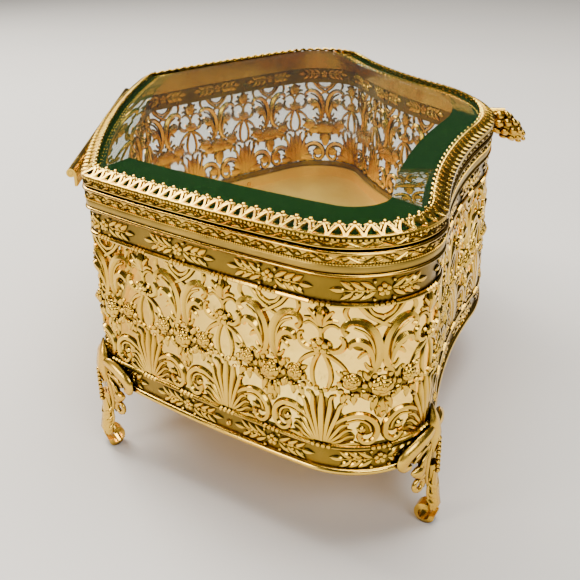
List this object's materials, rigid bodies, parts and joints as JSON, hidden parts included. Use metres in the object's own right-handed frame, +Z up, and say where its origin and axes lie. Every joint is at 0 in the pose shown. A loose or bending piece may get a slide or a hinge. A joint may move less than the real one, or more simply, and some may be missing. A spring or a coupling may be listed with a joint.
{
  "type": "vanity trinket box",
  "caption": "Gilt openwork vanity trinket box on cast scroll feet, with a hinged lid of bevelled glass and a cast bud knob.",
  "frame": {"origin": "centre of the box's footprint on the surface that it stands on", "axes": "+X along the box, +Y towards the hinge, -Y towards the nose with the knob, +Z up"},
  "size_m": [0.2084, 0.126, 0.0759],
  "materials": {
    "gilt_brass": "stamped and gold plated, polished highlights",
    "gilt_casting": "cast and gold plated",
    "gilt_plate": "gold plated sheet, matt with fine scratches",
    "brass_pin": "drawn wire",
    "bevelled_glass": "clear, polished, bevelled all round"
  },
  "bodies": {
    "base": {"filigree_band": "gilt_brass", "bottom_moulding": "gilt_brass", "base_plate": "gilt_plate", "plate_rivets": "gilt_brass", "top_rim": "gilt_brass", "inner_collar": "gilt_plate", "front_left_foot": "gilt_casting", "front_right_foot": "gilt_casting", "back_left_foot": "gilt_casting", "back_right_foot": "gilt_casting", "hinge_base_knuckles": "gilt_brass", "hinge_pin": "brass_pin"},
    "lid": {"lid_frame": "gilt_brass", "lid_liner_ring": "gilt_plate", "crown_gallery": "gilt_brass", "glass_panel": "bevelled_glass", "knob": "gilt_casting", "knob_stud": "brass_pin", "hinge_lid_knuckles": "gilt_brass"}
  },
  "joints": [
    {"name": "lid_hinge", "type": "hinge", "parent": "base", "child": "lid", "pos_m": [0, 0.0619, 0.07107], "axis": [-1, 0, 0], "range_deg": [0, 100]}
  ]
}
